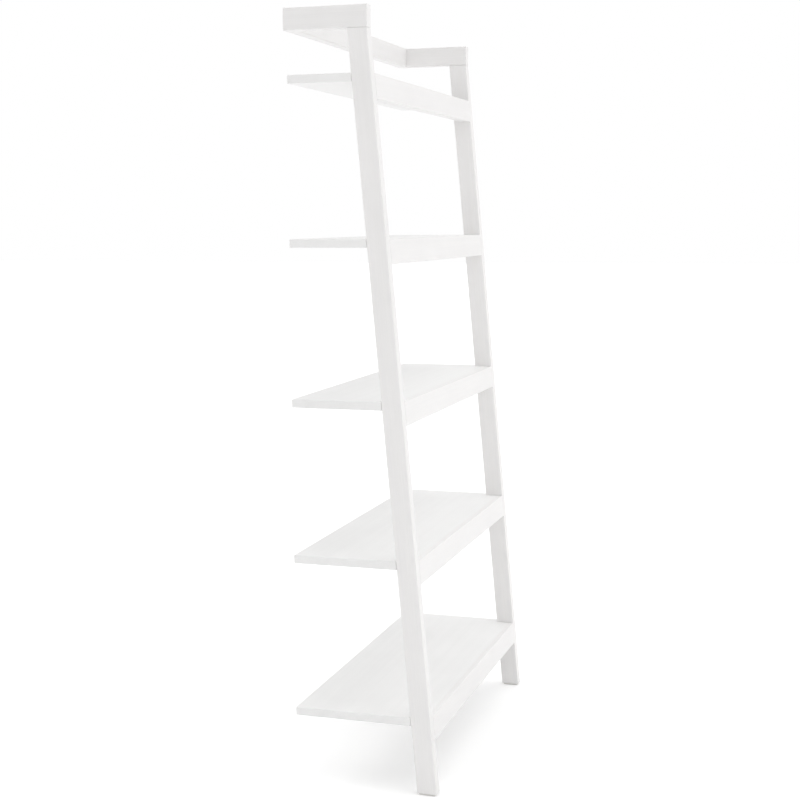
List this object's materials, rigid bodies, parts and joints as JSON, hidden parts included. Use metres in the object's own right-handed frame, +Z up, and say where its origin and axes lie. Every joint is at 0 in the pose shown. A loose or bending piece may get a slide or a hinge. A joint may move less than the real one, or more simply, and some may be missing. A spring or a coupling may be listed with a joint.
{
  "type": "ladder shelf",
  "caption": "Leaning ladder shelf with two raked legs, a top frame that rests on the wall, and level open shelves that get deeper towards the floor.",
  "frame": {"origin": "centre of the floor area that the shelf covers, at floor level, midway between the legs and midway between the wall face and the front of the feet", "axes": "+X across the width, from the left leg to the right leg seen from the front; -Y to the front; +Y to the wall that it leans on; +Z up"},
  "size_m": [0.89, 0.36, 1.83],
  "materials": {
    "painted_frame": "satin white paint on solid wood, eased edges, fine grain telegraphing through the paint",
    "painted_board": "satin white paint on board, smooth faces, eased edges",
    "cam_zinc": "die-cast zinc, dull grey, cross slot",
    "plated_steel": "bright zinc-plated steel",
    "bracket_paint": "white powder coat on bent steel plate",
    "glide_plastic": "off-white moulded plastic"
  },
  "bodies": {
    "root": {"arm_left": "painted_frame", "arm_right": "painted_frame", "back_rail": "painted_frame", "bracket_screw_left": "plated_steel", "bracket_screw_right": "plated_steel", "cam_arm_left": "cam_zinc", "cam_arm_right": "cam_zinc", "cam_pin_arm_left": "plated_steel", "cam_pin_arm_right": "plated_steel", "cam_pin_rail_left": "plated_steel", "cam_pin_rail_right": "plated_steel", "cam_pin_rung_1_left": "plated_steel", "cam_pin_rung_1_right": "plated_steel", "cam_pin_rung_2_left": "plated_steel", "cam_pin_rung_2_right": "plated_steel", "cam_pin_rung_3_left": "plated_steel", "cam_pin_rung_3_right": "plated_steel", "cam_pin_rung_4_left": "plated_steel", "cam_pin_rung_4_right": "plated_steel", "cam_pin_rung_5_left": "plated_steel", "cam_pin_rung_5_right": "plated_steel", "cam_rail_left": "cam_zinc", "cam_rail_right": "cam_zinc", "cam_rung_1_left": "cam_zinc", "cam_rung_1_right": "cam_zinc", "cam_rung_2_left": "cam_zinc", "cam_rung_2_right": "cam_zinc", "cam_rung_3_left": "cam_zinc", "cam_rung_3_right": "cam_zinc", "cam_rung_4_left": "cam_zinc", "cam_rung_4_right": "cam_zinc", "cam_rung_5_left": "cam_zinc", "cam_rung_5_right": "cam_zinc", "foot_glide_left": "glide_plastic", "foot_glide_right": "glide_plastic", "leg_left": "painted_frame", "leg_right": "painted_frame", "rung_1": "painted_frame", "rung_2": "painted_frame", "rung_3": "painted_frame", "rung_4": "painted_frame", "rung_5": "painted_frame", "shelf_1": "painted_board", "shelf_2": "painted_board", "shelf_3": "painted_board", "shelf_4": "painted_board", "shelf_5": "painted_board", "shelf_screw_1_left": "plated_steel", "shelf_screw_1_right": "plated_steel", "shelf_screw_2_left": "plated_steel", "shelf_screw_2_right": "plated_steel", "shelf_screw_3_left": "plated_steel", "shelf_screw_3_right": "plated_steel", "shelf_screw_4_left": "plated_steel", "shelf_screw_4_right": "plated_steel", "shelf_screw_5_left": "plated_steel", "shelf_screw_5_right": "plated_steel", "wall_bracket_left": "bracket_paint", "wall_bracket_right": "bracket_paint"}
  },
  "joints": []
}
